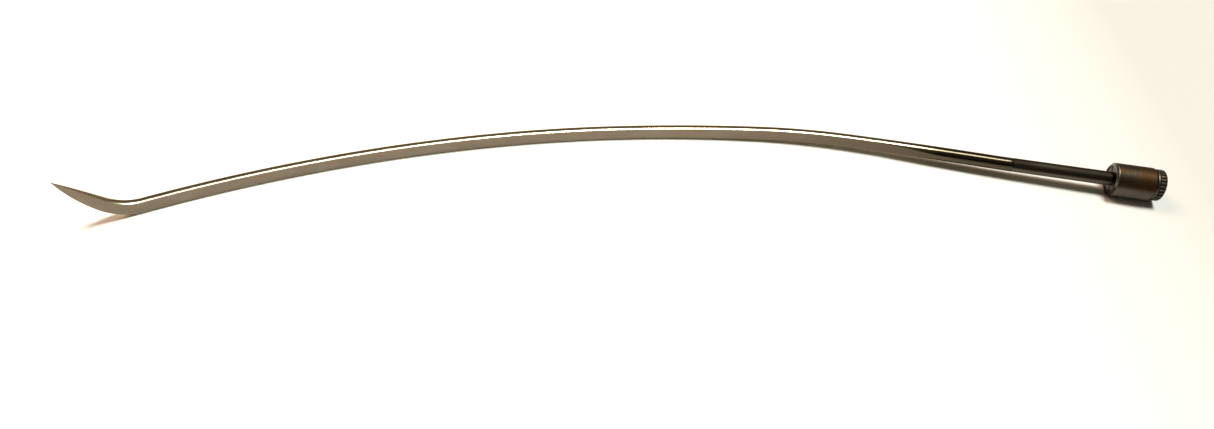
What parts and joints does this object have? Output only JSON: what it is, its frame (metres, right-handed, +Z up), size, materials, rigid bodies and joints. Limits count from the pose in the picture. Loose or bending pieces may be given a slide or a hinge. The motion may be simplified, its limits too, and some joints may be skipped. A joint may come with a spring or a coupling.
{
  "type": "curved lancet probe",
  "caption": "Long curved half-round steel probe with a bent pointed lancet tip, held by a collet in a short cylindrical grip with a serrated nut.",
  "frame": {"origin": "centre of the grip sleeve, on its axis", "axes": "+X along the grip's axis towards the serrated nut, +Z up and within 1.3 degrees of square to the table the object lies on, and the blade curves towards -Y"},
  "size_m": [0.4259, 0.1348, 0.0348],
  "materials": {
    "patina_steel": "turned steel with a thin brown rust patina, bright chamfer",
    "bright_steel": "turned and polished",
    "spring_steel": "drawn wire and stamped ring",
    "worn_steel": "worn satin",
    "black_steel": "blackened, worn bright on the serration crests",
    "dark_steel": "dull dark heat scale over drawn rod",
    "brushed_steel": "polished round back, lengthwise brushed flat"
  },
  "bodies": {
    "grip": {"grip_sleeve": "patina_steel", "key_pin": "bright_steel", "thrust_washer": "worn_steel", "collet_spring": "spring_steel"},
    "nut": {"draw_nut": "black_steel", "end_cap": "black_steel"},
    "collet": {"collet": "bright_steel"},
    "probe": {"blade": "brushed_steel", "shank": "dark_steel", "retaining_ring": "spring_steel"}
  },
  "joints": [
    {"name": "nut_turn", "type": "hinge", "parent": "grip", "child": "nut", "pos_m": [0, 0, 0], "axis": [1, 0, 0], "range_deg": [0, 360]},
    {"name": "collet_draw", "type": "slide", "parent": "grip", "child": "collet", "axis": [-1, 0, 0], "range_m": [0, 0.001], "deforming": ["collet_spring"]},
    {"name": "probe_turn", "type": "hinge", "parent": "collet", "child": "probe", "pos_m": [0, 0, 0], "axis": [-1, 0, 0], "continuous": true}
  ],
  "couplings": [
    {"joint": "nut_turn", "follows": "collet_draw", "rad_per_m": 6283.2}
  ]
}
